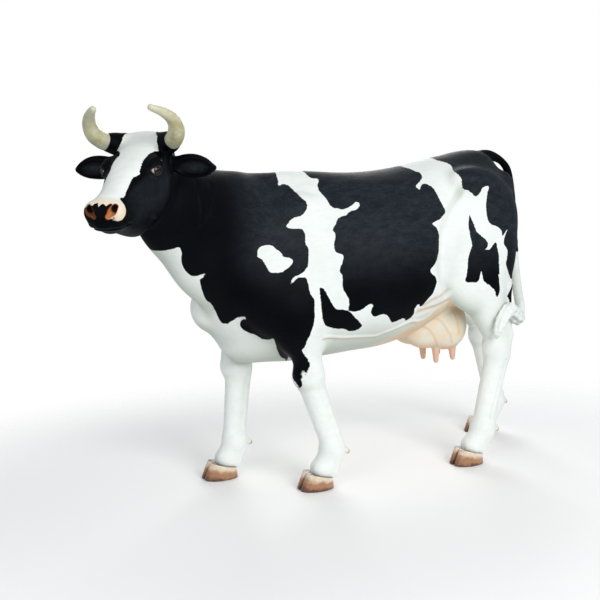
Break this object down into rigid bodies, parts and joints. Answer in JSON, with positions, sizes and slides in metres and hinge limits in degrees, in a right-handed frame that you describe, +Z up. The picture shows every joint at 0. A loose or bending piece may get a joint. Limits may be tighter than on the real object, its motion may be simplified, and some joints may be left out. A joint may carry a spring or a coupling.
{
  "type": "cow statue",
  "caption": "Life-size painted resin statue of a horned black-and-white dairy cow, standing on its hooves in mid-step with its head turned to its left.",
  "frame": {"origin": "on the floor, under the middle of the statue's overall bounding box", "axes": "+X ahead along the body, +Y to the cow's left, +Z up"},
  "size_m": [2.4174, 0.9392, 1.6228],
  "materials": {
    "white_paint": "satin paint over sculpted resin, white hair",
    "black_paint": "satin paint over sculpted resin, blue-black hair",
    "udder_paint": "satin paint over resin, cream and peach skin",
    "horn_paint": "gloss paint over resin, ivory with olive-brown shading",
    "hoof_paint": "gloss paint over resin, cream to dark brown",
    "eye_paint": "high-gloss lacquer, dark brown"
  },
  "bodies": {
    "root": {"ear_left": "black_paint", "ear_right": "black_paint", "head": "black_paint", "neck": "black_paint", "tail_dock": "black_paint", "tail": "white_paint", "udder": "udder_paint", "leg_front_left_lower": "white_paint", "leg_front_left_upper": "black_paint", "leg_front_right_lower": "white_paint", "leg_front_right_upper": "black_paint", "leg_hind_left_lower": "white_paint", "leg_hind_left_upper": "white_paint", "leg_hind_right_lower": "white_paint", "leg_hind_right_upper": "white_paint", "trunk": "white_paint", "horn_left": "horn_paint", "horn_right": "horn_paint", "eye_left": "eye_paint", "eye_right": "eye_paint", "dewclaw_front_left_outer": "hoof_paint", "dewclaw_front_left_inner": "hoof_paint", "dewclaw_front_right_outer": "hoof_paint", "dewclaw_front_right_inner": "hoof_paint", "dewclaw_hind_left_outer": "hoof_paint", "dewclaw_hind_left_inner": "hoof_paint", "dewclaw_hind_right_outer": "hoof_paint", "dewclaw_hind_right_inner": "hoof_paint", "teat_front_left": "udder_paint", "teat_front_right": "udder_paint", "teat_rear_left": "udder_paint", "teat_rear_right": "udder_paint", "tail_switch": "white_paint", "hoof_front_left_outer": "hoof_paint", "hoof_front_left_inner": "hoof_paint", "hoof_front_right_outer": "hoof_paint", "hoof_front_right_inner": "hoof_paint", "hoof_hind_left_outer": "hoof_paint", "hoof_hind_left_inner": "hoof_paint", "hoof_hind_right_outer": "hoof_paint", "hoof_hind_right_inner": "hoof_paint"}
  },
  "joints": []
}
